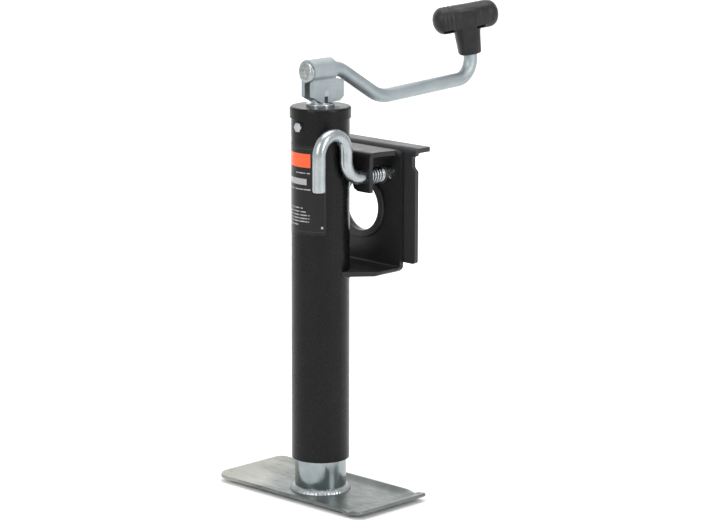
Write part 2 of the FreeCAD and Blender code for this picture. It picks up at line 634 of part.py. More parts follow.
def make_crank():
    """The strap round the bar, pinned on the screw's tongue, the bar, and the weld over its end."""
    body = new_body("crank_strap")
    ears = sketch_on(body, "YZ_Plane", "ear_outline")
    polygon(ears, [("Sheet.strap_back", "Sheet.ear_low + 6.5"), ("Sheet.strap_back + 12", "Sheet.ear_low"),
                   ("Sheet.strap_end - 7", "Sheet.ear_low"), ("Sheet.strap_end", "Sheet.ear_low + 5"),
                   ("Sheet.strap_end", "Sheet.ear_high"), ("Sheet.wrap_end + 1.5", "Sheet.ear_high + 1.4"),
                   ("Sheet.wrap_end", "Sheet.ear_high + 4"), ("Sheet.wrap_end", "Sheet.bar_high"),
                   ("Sheet.strap_back", "Sheet.bar_high")])
    wide = "Sheet.ear_gap + 2 * Sheet.ear_sheet"
    eared = pad(body, ears, wide, both=True)

    def strap_bend(edge):
        return runs_along(edge, "z") and middle(edge).y > size("strap_end") - 0.1
    fillet(body, eared, strap_bend, "2.8")
    wrap = sketch_on(body, "XZ_Plane", "wrap_section", "-Sheet.strap_back")
    circle(wrap, "0", "Sheet.bar_high", "Sheet.bar_radius + Sheet.ear_sheet")
    wrapped = pad(body, wrap, "Sheet.wrap_end - Sheet.strap_back", back=True)

    def waist(edge):
        spot = middle(edge)
        side = abs(abs(spot.x) - size("ear_gap") / 2 - size("ear_sheet")) < 0.01
        return runs_along(edge, "y") and side and size("ear_high") < spot.z < size("bar_high")
    fillet(body, wrapped, waist, "5")
    slot = sketch_on(body, "XY_Plane", "ear_slot", "Sheet.ear_low - 5")
    rectangle(slot, "-Sheet.ear_gap / 2", "Sheet.ear_gap / 2", "-60", "Sheet.strap_end - Sheet.ear_sheet")
    pocket(body, slot, "Sheet.bar_high - Sheet.ear_low + 5", back=True)
    bore = sketch_on(body, "XZ_Plane", "bar_bore", "60")
    circle(bore, "0", "Sheet.bar_high", "Sheet.bar_radius + Sheet.bore_fit")
    pocket(body, bore, "200")
    bore_across(body, "ear_pin_hole", "0", "Sheet.crank_pin_height", "Sheet.crank_pin_radius", "80")
    notch = sketch_on(body, "YZ_Plane", "ear_notch")
    rectangle(notch, "-Sheet.ear_notch / 2", "Sheet.ear_notch / 2",
              "Sheet.ear_low - 5", "Sheet.crank_pin_height - 2")
    pocket(body, notch, "80", both=True)
    cross_pin("crank_pin", "Sheet.crank_pin_radius", "Sheet.ear_gap + 2 * Sheet.ear_sheet + 0.4",
              "Sheet.crank_pin_height")

    lean = math.radians(size("bar_lean"))
    up = size("grip_height") - 3 - size("bar_end")
    tip = (size("bar_corner") - up * math.tan(lean), size("bar_end") + up)
    points = [(size("bar_start"), size("bar_high")), (size("bar_knee"), size("bar_high")),
              (size("bar_dip"), size("bar_low")), (size("bar_corner"), size("bar_end")), tip]
    bends = [(size("knee_bend"), "Sheet.knee_bend"), (size("dip_bend"), "Sheet.dip_bend"),
             (size("corner_bend"), "Sheet.corner_bend")]
    bar, pipe = bent_bar("crank_arm", None, points, bends,
                         "-Sheet.bar_start", "Sheet.bar_high", "Sheet.bar_radius")
    round_ends(bar, pipe, "1")

    weld = new_body("crank_weld")
    dome = sketch_on(weld, "XZ_Plane", "crank_weld_section")
    polygon(dome, [("0", "0"), ("Sheet.crank_weld_radius", "0"),
                   ("0.95 * Sheet.crank_weld_radius", "0.45 * Sheet.crank_weld_height"),
                   ("0.75 * Sheet.crank_weld_radius", "0.85 * Sheet.crank_weld_height"),
                   ("0.4 * Sheet.crank_weld_radius", "Sheet.crank_weld_height"),
                   ("0", "Sheet.crank_weld_height")])
    turned(weld, dome)
    place(weld, along=size("strap_back"), up=size("bar_high") - size("crank_weld_drop"),
          axis=(1, 0, 0), angle=90)


def make_grip():
    """The T-shaped grip about its own centre: the cross bar lies along X, the stem points down Z."""
    body = new_body("grip_knob")
    section = sketch_on(body, "XZ_Plane", "grip_section")
    half = "Sheet.grip_length / 2"
    polygon(section, [(f"-{half}", "0"), (f"-{half}", "Sheet.grip_radius - 5.5"),
                      (f"-{half} + 5.5", "Sheet.grip_radius"), (f"{half} - 5.5", "Sheet.grip_radius"),
                      (half, "Sheet.grip_radius - 5.5"), (half, "0")])
    cross = body.newObject("PartDesign::Revolution", "grip_cross_bar")
    cross.Profile = section
    cross.ReferenceAxis = (section, ["H_Axis"])
    doc.recompute()
    fillet(body, cross, lambda edge: edge.Curve.TypeId == "Part::GeomCircle", "4.5")
    stem = sketch_on(body, "XZ_Plane", "stem_section")
    polygon(stem, [("0", "-Sheet.stem_length"), ("Sheet.stem_narrow", "-Sheet.stem_length"),
                   ("Sheet.stem_wide", "-7"), ("0", "-7")])
    stemmed = turned(body, stem)

    def stem_end(edge):
        return edge.BoundBox.ZMax < -size("stem_length") + 0.01
    fillet(body, stemmed, stem_end, "1.2")
    bore = sketch_on(body, "XZ_Plane", "grip_bore")
    fit = "Sheet.bar_radius + Sheet.bore_fit"
    polygon(bore, [("0", "-Sheet.stem_length - 5"), (fit, "-Sheet.stem_length - 5"), (fit, "-7.5"),
                   ("9.4", "-7.5"), ("9.4", "-1.5"), ("0", "-1.5")])
    groove = body.newObject("PartDesign::Groove", "grip_bore_cut")
    groove.Profile = bore
    groove.ReferenceAxis = (bore, ["V_Axis"])
    doc.recompute()
    lean = size("bar_lean")
    up = size("grip_height") - size("bar_end")
    back = size("bar_corner") - up * math.tan(math.radians(lean))
    turn = FreeCAD.Rotation(FreeCAD.Vector(1, 0, 0), lean)
    turn = turn.multiply(FreeCAD.Rotation(FreeCAD.Vector(0, 0, 1), size("grip_turn")))
    body.Placement = FreeCAD.Placement(FreeCAD.Vector(0, back, size("grip_height")), turn)

    nut = ring("grip_push_nut", "8.6", "Sheet.bar_radius", "-6.6", "1.2")
    nut.Placement = body.Placement
    doc.recompute()


def make_pull_pin():
    height = size("axis_height") + size("index_offset")
    rise = size("pin_rise")
    far = rise - 2 * size("hook_bend")
    top = size("hook_top")
    points = [(size("pin_nose"), height), (rise, height), (rise, top), (far, top), (far, size("hook_end"))]
    bends = [(size("pin_bend"), "Sheet.pin_bend"), (size("hook_bend") - 0.01, "Sheet.hook_bend - 0.01"),
             (size("hook_bend") - 0.01, "Sheet.hook_bend - 0.01")]
    bar, pipe = bent_bar("pull_pin", "Sheet.index_offset", points, bends, "-Sheet.pin_nose",
                         "Sheet.axis_height + Sheet.index_offset", "Sheet.pin_radius")
    round_ends(bar, pipe, "1.4")
    hole = sketch_on(bar, "YZ_Plane", "cotter_hole", "Sheet.index_offset")
    circle(hole, "Sheet.cotter_back", "Sheet.axis_height + Sheet.index_offset", "Sheet.cotter_radius")
    pocket(bar, hole, "4 * Sheet.pin_radius", both=True)

    washer = new_body("spring_washer")
    disc = sketch_on(washer, "XY_Plane", "spring_washer_disc")
    circle(disc, "0", "0", "Sheet.pin_washer_radius")
    circle(disc, "0", "0", "Sheet.pin_radius + 0.1")
    pad(washer, disc, "Sheet.pin_washer_sheet")
    place(washer, size("index_offset"), size("spring_end") + 0.1, height, (1, 0, 0), -90)


def make_spring():
    """A compression spring on the pin, between the tab and the washer."""
    start = size("tab_near") + size("sheet") + size("spring_wire") + 0.1
    helix = doc.addObject("Part::Helix", "spring_helix")
    helix.setExpression("Radius", "Sheet.spring_mean")
    helix.setExpression("Pitch", "Sheet.spring_pitch")
    helix.Height = size("spring_end") - size("spring_wire") - start
    section = doc.addObject("Part::Circle", "spring_section")
    section.setExpression("Radius", "Sheet.spring_wire")
    section.Placement = FreeCAD.Placement(FreeCAD.Vector(size("spring_mean"), 0, 0),
                                          FreeCAD.Rotation(FreeCAD.Vector(1, 0, 0), 90))
    doc.recompute()
    spring = keep(doc.addObject("Part::Sweep", "spring_sweep"), "pin_spring")
    spring.Sections = [section]
    spring.Spine = (helix, ["Edge1"])
    spring.Solid = True
    spring.Frenet = True
    doc.recompute()
    height = size("axis_height") + size("index_offset")
    place(spring, size("index_offset"), start, height, (1, 0, 0), -90)


def make_cotter():
    """A cotter through the pin behind the washer: an eye on one side and two spread legs on the other."""
    body = new_body("cotter_pin")
    path = sketch_on(body, "XY_Plane", "cotter_route")
    side = size("pin_radius")
    points = [(-side - 3, 0.0), (side + 2, 0.0), (side + 9, 4.5)]
    route(path, points, [(3.0, "3")])
    section = sketch_on(body, "YZ_Plane", "cotter_section", f"{-side - 3}")
    circle(section, "0", "0", "Sheet.cotter_radius")
    doc.recompute()
    leg = body.newObject("PartDesign::AdditivePipe", "cotter_leg")
    leg.Profile = section
    leg.Spine = path
    doc.recompute()
    second = sketch_on(body, "XY_Plane", "cotter_short_route")
    route(second, [(side, 0.0), (side + 2, 0.0), (side + 5, -4.0)], [(1.6, "1.6")])
    section = sketch_on(body, "YZ_Plane", "cotter_short_section", f"{side}")
    circle(section, "0", "0", "Sheet.cotter_radius")
    doc.recompute()
    short = body.newObject("PartDesign::AdditivePipe", "cotter_short_leg")
    short.Profile = section
    short.Spine = second
    doc.recompute()
    eye = sketch_on(body, "XZ_Plane", "eye_section")
    circle(eye, f"{-side - 3}", "0", "Sheet.cotter_radius")
    loop_centre = -side - 3 - size("cotter_eye")
    eye_axis = Part.LineSegment(FreeCAD.Vector(loop_centre, -5, 0), FreeCAD.Vector(loop_centre, 5, 0))
    eye.addGeometry(eye_axis, True)
    doc.recompute()
    loop = body.newObject("PartDesign::Revolution", "cotter_eye")
    loop.Profile = eye
    loop.ReferenceAxis = (eye, ["Axis0"])
    doc.recompute()
    height = size("axis_height") + size("index_offset")
    place(body, size("index_offset"), size("cotter_back"), height, (1, 0, 0), 90)


def check_and_write():
    for thing in doc.Objects:
        for fault in ("Invalid", "Error"):
            if fault in thing.State:
                raise RuntimeError(f"{thing.Name} is {fault}")
    os.makedirs("parts", exist_ok=True)
    for thing in SUBPARTS:
        if thing.Shape.isNull() or not thing.Shape.isValid():
            raise RuntimeError(thing.Label + " has no valid shape")
        thing.Shape.exportStep("parts/" + thing.Label + ".step")


make_leg()
make_casing()
make_bracket()
make_bracket_welds()
make_frame()
make_screw()
make_crank()
make_grip()
make_pull_pin()
make_spring()
make_cotter()
doc.recompute()
check_and_write()
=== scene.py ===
"""Looks of the swivel trailer tongue jack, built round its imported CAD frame."""
import json
import math
from collections import namedtuple

import bmesh
import bpy
from mathutils import Matrix, Vector


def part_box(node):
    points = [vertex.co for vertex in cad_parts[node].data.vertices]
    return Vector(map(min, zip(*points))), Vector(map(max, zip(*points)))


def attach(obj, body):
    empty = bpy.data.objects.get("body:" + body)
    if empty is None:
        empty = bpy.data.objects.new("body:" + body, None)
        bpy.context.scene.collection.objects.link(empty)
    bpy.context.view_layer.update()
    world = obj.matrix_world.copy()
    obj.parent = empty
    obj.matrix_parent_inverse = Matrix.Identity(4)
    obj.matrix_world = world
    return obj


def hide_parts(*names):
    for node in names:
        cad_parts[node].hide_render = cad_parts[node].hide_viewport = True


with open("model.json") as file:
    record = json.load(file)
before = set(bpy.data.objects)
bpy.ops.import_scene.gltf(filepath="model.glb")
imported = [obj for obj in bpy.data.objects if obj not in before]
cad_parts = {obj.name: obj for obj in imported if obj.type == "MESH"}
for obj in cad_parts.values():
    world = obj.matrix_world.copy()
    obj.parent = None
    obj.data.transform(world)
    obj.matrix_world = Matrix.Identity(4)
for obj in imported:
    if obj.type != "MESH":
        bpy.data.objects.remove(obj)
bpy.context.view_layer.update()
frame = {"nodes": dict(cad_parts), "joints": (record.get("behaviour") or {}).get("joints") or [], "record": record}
NODES = frame["nodes"]
MM = 0.001


# ---------------------------------------------------------------- materials

class Shader:
    """A Principled material with short ways to add procedural detail in the object's own frame."""

    def __init__(self, name, colour, metallic, roughness):
        self.material = bpy.data.materials.new(name)
        self.material.use_nodes = True
        self.nodes = self.material.node_tree.nodes
        self.links = self.material.node_tree.links
        self.principled = self.nodes["Principled BSDF"]
        self.principled.inputs["Base Color"].default_value = (*colour, 1)
        self.principled.inputs["Metallic"].default_value = metallic
        self.principled.inputs["Roughness"].default_value = roughness
        self.colour = colour
        self.place = self.nodes.new("ShaderNodeTexCoord").outputs["Object"]
        self.bumps = []

    def link(self, source, target):
        self.links.new(source, target)

    def set(self, socket, number):
        self.principled.inputs[socket].default_value = number

    def stretched(self, scale):
        mapping = self.nodes.new("ShaderNodeMapping")
        mapping.inputs["Scale"].default_value = scale
        self.link(self.place, mapping.inputs["Vector"])
        return mapping.outputs["Vector"]

    def noise(self, scale, detail, rough=0.5, stretch=(1, 1, 1), warp=0.0):
        noise = self.nodes.new("ShaderNodeTexNoise")
        noise.inputs["Scale"].default_value = scale
        noise.inputs["Detail"].default_value = detail
        noise.inputs["Roughness"].default_value = rough
        noise.inputs["Distortion"].default_value = warp
        self.link(self.stretched(stretch), noise.inputs["Vector"])
        return noise.outputs["Fac"]

    def spread(self, value, low, high, start=0.35, end=0.65):
        """A value between start and end turned into a number between low and high."""
        ranged = self.nodes.new("ShaderNodeMapRange")
        ranged.inputs["From Min"].default_value = start
        ranged.inputs["From Max"].default_value = end
        ranged.inputs["To Min"].default_value = low
        ranged.inputs["To Max"].default_value = high
        self.link(value, ranged.inputs["Value"])
        return ranged.outputs["Result"]

    def math(self, kind, first, second):
        node = self.nodes.new("ShaderNodeMath")
        node.operation = kind
        for index, value in enumerate((first, second)):
            if isinstance(value, (int, float)):
                node.inputs[index].default_value = value
            else:
                self.link(value, node.inputs[index])
        return node.outputs["Value"]

    def blend(self, factor, first, second):
        mix = self.nodes.new("ShaderNodeMix")
        mix.data_type = "RGBA"
        self.link(factor, mix.inputs["Factor"])
        for name, value in (("A", first), ("B", second)):
            socket = [item for item in mix.inputs if item.name == name and item.type == "RGBA"][0]
            if isinstance(value, tuple):
                socket.default_value = (*value, 1)
            else:
                self.link(value, socket)
        return [item for item in mix.outputs if item.type == "RGBA"][0]

    def tint(self, factor, other):
        """Blend the base colour towards another where the pattern is high."""
        colour = self.blend(self.spread(factor, 0, 1, 0.3, 0.7), self.colour, other)
        self.link(colour, self.principled.inputs["Base Color"])

    def rough(self, factor, low, high):
        self.link(self.spread(factor, low, high), self.principled.inputs["Roughness"])

    def bump(self, height, depth, strength):
        node = self.nodes.new("ShaderNodeBump")
        node.inputs["Distance"].default_value = depth
        node.inputs["Strength"].default_value = strength
        self.link(height, node.inputs["Height"])
        if self.bumps:
            self.link(self.bumps[-1], node.inputs["Normal"])
        self.bumps.append(node.outputs["Normal"])
        self.link(node.outputs["Normal"], self.principled.inputs["Normal"])


def powder_coat(name, colour, roughness, shine):
    """Black powder coat with a fine orange-peel grain."""
    coat = Shader(name, colour, 0.0, roughness)
    coat.set("Specular IOR Level", shine)
    coat.bump(coat.noise(620, 2, 0.5), 0.00008, 0.35)
    coat.bump(coat.noise(60, 2, 0.5), 0.0002, 0.12)
    coat.tint(coat.noise(24, 5, 0.6), tuple(1.3 * part + 0.001 for part in colour))
    coat.rough(coat.noise(60, 4, 0.6), roughness - 0.03, roughness + 0.05)
    return coat.material


def zinc(name, colour, roughness, grain=(1, 1, 1), cloud=0.10):
    """Bright zinc: clouds a little darker and bluer than the rest, and fine streaks along the grain."""
    bluer = 0.02
    plate = Shader(name, colour, 1.0, roughness)
    clouds = plate.noise(45, 5, 0.6, warp=0.4)
    red, green, blue = (part * (1 - cloud) for part in colour)
    plate.tint(clouds, (red - bluer, green, blue + bluer))
    streaks = plate.noise(330, 4, 0.6, stretch=grain)
    plate.rough(streaks, roughness - 0.07, roughness + 0.09)
    plate.bump(plate.noise(900, 3, 0.6, stretch=grain), 0.00006, 0.5)
    plate.bump(plate.noise(75, 3, 0.5), 0.0002, 0.25)
    return plate.material


def dull_foot(name, colour, roughness):
    """Dull zinc on pressed sheet: blotches, a painted warm highlight on the -X ramp standing in for the light it
    catches, and scuffs along the sheet.
    """
    plate = Shader(name, colour, 1.0, roughness)
    split = plate.nodes.new("ShaderNodeSeparateXYZ")
    plate.link(plate.place, split.inputs["Vector"])
    # Painted highlight: the -X ramp is blended to a warm paler colour for the light that it catches, faded in from
    # X = -45 mm to X = -85 mm, its edge wobbled by noise.
    highlight_edge_wobble = plate.spread(plate.noise(22, 5, 0.65, warp=0.6), -0.025, 0.025)
    highlight_start, highlight_end = -0.045, -0.085
    painted_highlight_colour = (0.40, 0.405, 0.365)
    ramp = plate.spread(plate.math("ADD", split.outputs["X"], highlight_edge_wobble), 0, 1, highlight_start, highlight_end)
    dark = tuple(0.72 * part for part in colour)
    base = plate.blend(plate.spread(plate.noise(38, 5, 0.6, warp=0.4), 0, 1), colour, dark)
    base = plate.blend(ramp, base, painted_highlight_colour)
    plate.link(base, plate.principled.inputs["Base Color"])
    plate.rough(plate.noise(260, 4, 0.6, stretch=(0.25, 1, 1)), roughness - 0.09, roughness + 0.09)
    plate.bump(plate.noise(700, 3, 0.6, stretch=(0.3, 1, 1)), 0.00006, 0.5)
    plate.bump(plate.noise(55, 3, 0.5), 0.0003, 0.3)
    return plate.material


def machined(name, colour, roughness):
    """Turned steel with fine tool rings along Z."""
    ring_pitch = 0.8 * MM
    steel = Shader(name, colour, 1.0, roughness)
    rings = steel.nodes.new("ShaderNodeTexWave")
    rings.wave_type = "BANDS"
    rings.bands_direction = "Z"
    rings.inputs["Scale"].default_value = 0.3 / ring_pitch
    rings.inputs["Distortion"].default_value = 0.4
    steel.link(steel.place, rings.inputs["Vector"])
    steel.bump(rings.outputs["Fac"], 0.00005, 0.4)
    steel.tint(steel.noise(60, 4), tuple(0.8 * part for part in colour))
    steel.rough(steel.noise(160, 3), roughness - 0.06, roughness + 0.08)
    return steel.material


def moulded(name, colour, roughness):
    """Black moulded nylon with a fine spark-eroded grain and soft scuffs."""
    plastic = Shader(name, colour, 0.0, roughness)
    plastic.set("Specular IOR Level", 0.30)
    plastic.bump(plastic.noise(1500, 2, 0.5), 0.00008, 0.6)
    plastic.bump(plastic.noise(90, 3, 0.5), 0.0003, 0.15)
    plastic.tint(plastic.noise(50, 5, 0.6), tuple(1.9 * part + 0.004 for part in colour))
    plastic.rough(plastic.noise(120, 4, 0.6), roughness - 0.08, roughness + 0.08)
    return plastic.material


def label_film(name):
    """A black decal with a plain orange block, grey bars and thin rules; no lettering."""
    low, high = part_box("label_decal")
    film = Shader(name, (0.0065, 0.0065, 0.0070), 0.0, 0.24)
    film.set("Specular IOR Level", 0.28)
    split = film.nodes.new("ShaderNodeSeparateXYZ")
    film.link(film.place, split.inputs["Vector"])
    across, along, up = split.outputs
    angle = film.math("ARCTAN2", across, film.math("MULTIPLY", along, -1.0))

    def between(value, start, end):
        above = film.math("GREATER_THAN", value, start)
        return film.math("MULTIPLY", above, film.math("LESS_THAN", value, end))

    def block(left, right, bottom, top):
        """A rectangle on the decal, in degrees round the tube and millimetres above its lower edge."""
        inside = between(angle, math.radians(left), math.radians(right))
        return film.math("MULTIPLY", inside, between(up, low.z + bottom * MM, low.z + top * MM))

    def add(first, second):
        return film.math("MAXIMUM", first, second)

    edge, line_height = 54, 1.1
    orange_ink, pale_ink, rule_ink = (0.80, 0.115, 0.035), (0.36, 0.36, 0.36), (0.030, 0.030, 0.032)
    orange = block(-46, 25, 66, 79.5)
    pale = block(-46, 17, 49, 55)
    broken = film.spread(film.noise(520, 1, 0.4, stretch=(1, 1, 0.05)), 0.25, 1.0, 0.40, 0.46)
    for bottom, left, right in ((60.0, -10, 24), (44.0, -46, 25), (25.4, -46, 8), (21.9, -46, 15),
                                (18.6, -46, 23), (15.4, -46, 23), (12.4, -46, 22), (8.8, -46, -4)):
        pale = add(pale, film.math("MULTIPLY", broken, block(left, right, bottom, bottom + line_height)))
    pale = add(pale, block(46, 50, 6.4, 8.6))
    rules = add(block(-edge, edge, 3.0, 3.5), block(-edge, edge, 84.0, 84.5))
    rules = add(rules, add(block(-edge, -53.2, 3.0, 84.5), block(53.2, edge, 3.0, 84.5)))
    colour = film.blend(orange, film.colour, orange_ink)
    colour = film.blend(pale, colour, pale_ink)
    colour = film.blend(rules, colour, rule_ink)
    film.link(colour, film.principled.inputs["Base Color"])
    film.rough(film.noise(140, 3), 0.17, 0.27)
    film.bump(film.noise(120, 2), 0.0002, 0.12)
    return film.material


def bead_steel(name, colour, metallic, roughness):
    """A weld's surface, painted or plated, with fine lumps."""
    weld = Shader(name, colour, metallic, roughness)
    weld.tint(weld.noise(300, 4, 0.7), tuple(0.7 * part for part in colour))
    weld.bump(weld.noise(700, 3, 0.6), 0.0002, 0.5)
    weld.rough(weld.noise(200, 3), roughness - 0.05, roughness + 0.12)
    return weld.material


MATERIALS = {
    "tube_black": powder_coat("tube_black", (0.0040, 0.0040, 0.0043), 0.26, 0.19),
    # tube_black and bracket_black are one black paint; the lighter base colour of bracket_black is painted light,
    # for the glancing light that the bracket's faces catch.
    "bracket_black": powder_coat("bracket_black", (0.018, 0.0184, 0.0195), 0.33, 0.42),
    "swivel_black": powder_coat("swivel_black", (0.0105, 0.0107, 0.0112), 0.31, 0.34),
    "cotter_steel": machined("cotter_steel", (0.17, 0.17, 0.17), 0.40),
    "weld_black": bead_steel("weld_black", (0.008, 0.008, 0.009), 0.0, 0.34),
    "label": label_film("label"),
    "plain_steel": machined("plain_steel", (0.40, 0.40, 0.41), 0.42),
    "bearing_steel": machined("bearing_steel", (0.62, 0.62, 0.63), 0.22),
    "screw_steel": machined("screw_steel", (0.52, 0.53, 0.54), 0.34),
    "zinc_bright": zinc("zinc_bright", (0.55, 0.58, 0.60), 0.22, cloud=0.2),
    "zinc_crank": zinc("zinc_crank", (0.42, 0.455, 0.465), 0.50, grain=(1, 0.12, 1), cloud=0.16),
    "zinc_pin": zinc("zinc_pin", (0.48, 0.51, 0.51), 0.27, grain=(1, 1, 0.15), cloud=0.20),
    "zinc_leg": zinc("zinc_leg", (0.365, 0.40, 0.397), 0.18, grain=(1, 1, 0.08), cloud=0.24),
    "zinc_foot": dull_foot("zinc_foot", (0.225, 0.247, 0.236), 0.38),
    "weld_zinc": bead_steel("weld_zinc", (0.42, 0.45, 0.455), 1.0, 0.30),
    "grip_plastic": moulded("grip_plastic", (0.0095, 0.0095, 0.0098), 0.40),
}


def finish_piece(thing, slot_name, body):
    """The last steps for a piece made here: its material, its slot and the body that it rides on."""
    thing.data.materials.clear()
    thing.data.materials.append(MATERIALS[slot_name])
    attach(thing, body)


def dress_cad_nodes():
    """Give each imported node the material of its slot."""
    slots = {part["node"]: part["material_slot"] for part in frame["record"]["subparts"]}
    for name, thing in NODES.items():
        material = MATERIALS[slots[name]]
        if not thing.data.materials:
            thing.data.materials.append(material)
        for index in range(len(thing.data.materials)):
            thing.data.materials[index] = material


# ---------------------------------------------------------------- mesh helpers

def object_from(bm, name):
    """A mesh object in the scene from a bmesh, with its faces turned outwards."""
    mesh = bpy.data.meshes.new(name)
    bmesh.ops.recalc_face_normals(bm, faces=bm.faces)
    bm.to_mesh(mesh)
    bm.free()
    thing = bpy.data.objects.new(name, mesh)
    bpy.context.scene.collection.objects.link(thing)
    return thing


def smooth(thing, degrees):
    """Smooth shading, except at edges sharper than an angle."""
    for face in thing.data.polygons:
        face.use_smooth = True
    thing.data.set_sharp_from_angle(angle=math.radians(degrees))


def apply_modifiers(thing):
    graph = bpy.context.evaluated_depsgraph_get()
    mesh = bpy.data.meshes.new_from_object(thing.evaluated_get(graph))
    thing.modifiers.clear()
    thing.data = mesh


def loft(name, rings, close_ends=True):
    """A skin over rings of points, all with the same count."""
    bm = bmesh.new()
    rows = [[bm.verts.new(point) for point in ring] for ring in rings]
    count = len(rows[0])
    for first, second in zip(rows, rows[1:]):
        for step in range(count):
            after = (step + 1) % count
            bm.faces.new((first[step], first[after], second[after], second[step]))
    if close_ends:
        bm.faces.new(rows[0][::-1])
        bm.faces.new(rows[-1])
    return object_from(bm, name)


def superellipse(half_a, half_b, power, count=64):
    """Points of a rounded rectangle in a plane, as pairs."""
    points = []
    for step in range(count):
        angle = 2 * math.pi * step / count
        cos, sin = math.cos(angle), math.sin(angle)
        across = half_a * math.copysign(abs(cos) ** (2 / power), cos)
        up = half_b * math.copysign(abs(sin) ** (2 / power), sin)
        points.append((across, up))
    return points


def tube_along(name, points, radius, sides):
    """A round bar along a list of points, whose frame turns as little as it can."""
    rings = []
    side = None
    for index, point in enumerate(points):
        before = points[max(index - 1, 0)]
        after = points[min(index + 1, len(points) - 1)]
        ahead = (after - before).normalized()
        if side is None:
            side = ahead.orthogonal().normalized()
        side = (side - ahead * side.dot(ahead)).normalized()
        other = ahead.cross(side)
        ring = []
        for step in range(sides):
            angle = 2 * math.pi * step / sides
            ring.append(point + (side * math.cos(angle) + other * math.sin(angle)) * radius)
        rings.append(ring)
    return loft(name, rings)


# ---------------------------------------------------------------- foot

def rise_over(distance, ramp, height):
    """Height of the pressed sheet at a distance inside its edge: flat floor, then a smooth ramp."""
    if distance >= ramp:
        return 0.0
    share = 1 - distance / ramp
    return height * share * share * (1.6 - 0.6 * share)


FootEnd = namedtuple("FootEnd", "corner ramp lift dip")
MINUS_X_END = FootEnd(corner=13 * MM, ramp=34 * MM, lift=1.0, dip=0.5 * MM)
PLUS_X_END = FootEnd(corner=5 * MM, ramp=28 * MM, lift=0.9, dip=2.6 * MM)


def foot_point(x, y, half_x, half_y, rim):
    """A grid point of a plain rectangle moved inside the rounded corners and up the ramps."""
    end = MINUS_X_END if x < 0 else PLUS_X_END
    over_x = max(abs(x) - (half_x - end.corner), 0)
    over_y = max(abs(y) - (half_y - end.corner), 0)
    if over_x > 0 and over_y > 0:
        longest = max(over_x, over_y)
        reach = math.hypot(over_x, over_y)
        over_x, over_y = over_x * longest / reach, over_y * longest / reach
        x = math.copysign(half_x - end.corner + over_x, x)
        y = math.copysign(half_y - end.corner + over_y, y)
    flare, flare_lift = 12 * MM, 0.80
    end_rise = rise_over(half_x - abs(x), end.ramp, rim * end.lift)
    side_rise = rise_over(half_y - abs(y), flare, rim * flare_lift)
    height = max(end_rise, side_rise) + min(end_rise, side_rise) * 0.10
    dip_inset, dip_width, dip_reach = 17 * MM, 5.5 * MM, 9 * MM
    dip = math.exp(-(((abs(x) - (half_x - dip_inset)) / dip_width) ** 2))
    near_side = max(0.0, 1 - (half_y - abs(y)) / dip_reach)
    height -= end.dip * dip * near_side
    return x, y, min(max(height, 0.0), rim)


def build_foot():
    """The pressed foot: ramped ends, flared sides, rounded corners and a dip near each corner."""
    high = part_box("foot_plate")[1]
    half_x, half_y = high.x, high.y
    thick, edge_round = 3.2 * MM, 0.7 * MM
    rim = high.z - thick
    columns, rows = 130, 64
    bm = bmesh.new()
    grid = []
    for row in range(rows + 1):
        line = []
        for column in range(columns + 1):
            x = -half_x + 2 * half_x * column / columns
            y = -half_y + 2 * half_y * row / rows
            line.append(bm.verts.new(foot_point(x, y, half_x, half_y, rim)))
        grid.append(line)
    for row in range(rows):
        for column in range(columns):
            bm.faces.new((grid[row][column], grid[row][column + 1],
                          grid[row + 1][column + 1], grid[row + 1][column]))
    foot = object_from(bm, "pressed_foot")
    for face in foot.data.polygons:
        if face.normal.z < 0:
            face.flip()
    sheet = foot.modifiers.new("sheet", "SOLIDIFY")
    sheet.thickness = thick
    sheet.offset = 1.0
    soft = foot.modifiers.new("edges", "BEVEL")
    soft.width = edge_round
    soft.segments = 3
    soft.limit_method = "ANGLE"
    soft.angle_limit = math.radians(50)
    apply_modifiers(foot)
    smooth(foot, 40)
    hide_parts("foot_plate")
    finish_piece(foot, "zinc_foot", "leg")


# ---------------------------------------------------------------- welds

WELD_OUTLINE = [(-0.6, -0.3), (0.55, -0.3), (0.98, 0.0), (0.86, 0.34), (0.62, 0.62), (0.34, 0.86),
                (0.0, 0.98), (-0.6, 0.9)]


def weld_bead(name, node, slot_name, body, radius, height, upward, start, end, size, ripples, depth=0.12):
    """A rippled fillet weld round a tube, from one angle to another, in degrees from +X.

    The bead stands on the plane at this height, above it where upward is 1 and below it where it is -1.
    An open bead thins towards its two ends, and a full circle is closed on itself.
    """
    closed = end - start > 359
    rings = []
    steps = max(12, int(ripples * 8))
    for step in range(steps + 1):
        share = step / steps
        angle = math.radians(start + (end - start) * share)
        ripple = 0.5 - 0.5 * math.cos(2 * math.pi * ripples * share)
        swell = size * (1 - depth + depth * ripple)
        if not closed:
            swell *= min(1.0, 0.35 + 6 * min(share, 1 - share))
        ring = []
        for out, up in WELD_OUTLINE:
            reach = radius + out * swell
            ring.append(Vector((reach * math.cos(angle), reach * math.sin(angle),
                                height + upward * up * swell)))
        rings.append(ring)
    if closed:
        rings = rings[:-1]
        rings.append([point.copy() for point in rings[0]])
    bead = loft(name, rings, not closed)
    bm = bmesh.new()
    bm.from_mesh(bead.data)
    bmesh.ops.remove_doubles(bm, verts=bm.verts, dist=0.00001)
    bmesh.ops.recalc_face_normals(bm, faces=bm.faces)
    bm.to_mesh(bead.data)
    bm.free()
    smooth(bead, 60)
    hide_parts(node)
    finish_piece(bead, slot_name, body)


